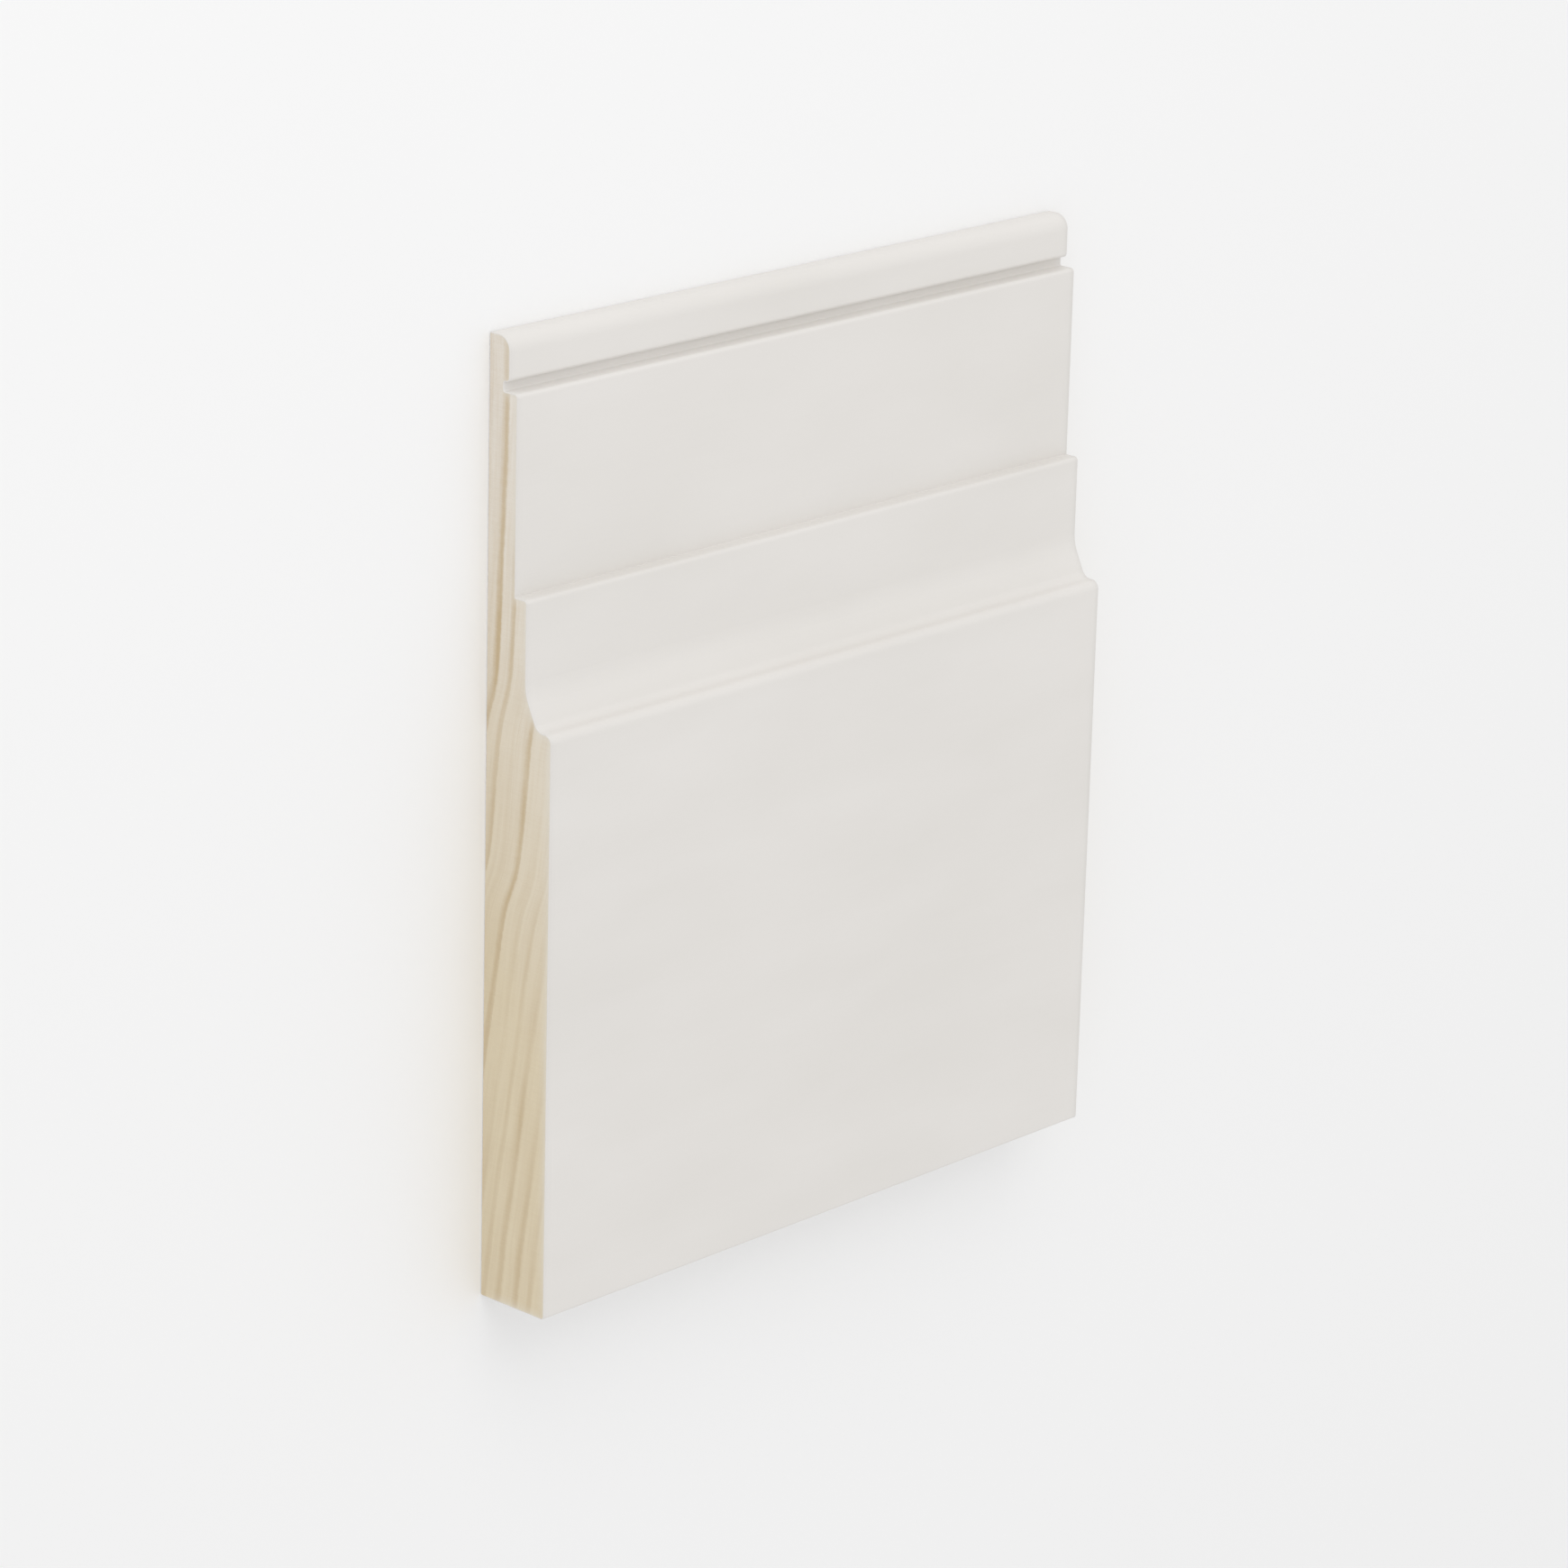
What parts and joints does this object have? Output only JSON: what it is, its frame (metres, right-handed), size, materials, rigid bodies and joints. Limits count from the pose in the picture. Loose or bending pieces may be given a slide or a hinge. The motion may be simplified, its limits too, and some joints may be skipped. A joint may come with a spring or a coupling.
{
  "type": "skirting board length",
  "caption": "Short length of tall stepped wooden skirting board with a plain plinth, a cove, flat fascias and a beaded top, painted on its faces and bare on its sawn ends.",
  "frame": {"origin": "centre of the flat back face, which the board lies on", "axes": "+X along the length to the right-hand end seen from the front, +Y from the floor edge up to the bead, +Z from the back to the moulded front"},
  "size_m": [0.18, 0.22, 0.02],
  "materials": {
    "painted_wood": "satin white primer over planed pine, bare wood on both sawn ends"
  },
  "bodies": {
    "root": {"skirting_board": "painted_wood"}
  },
  "joints": []
}
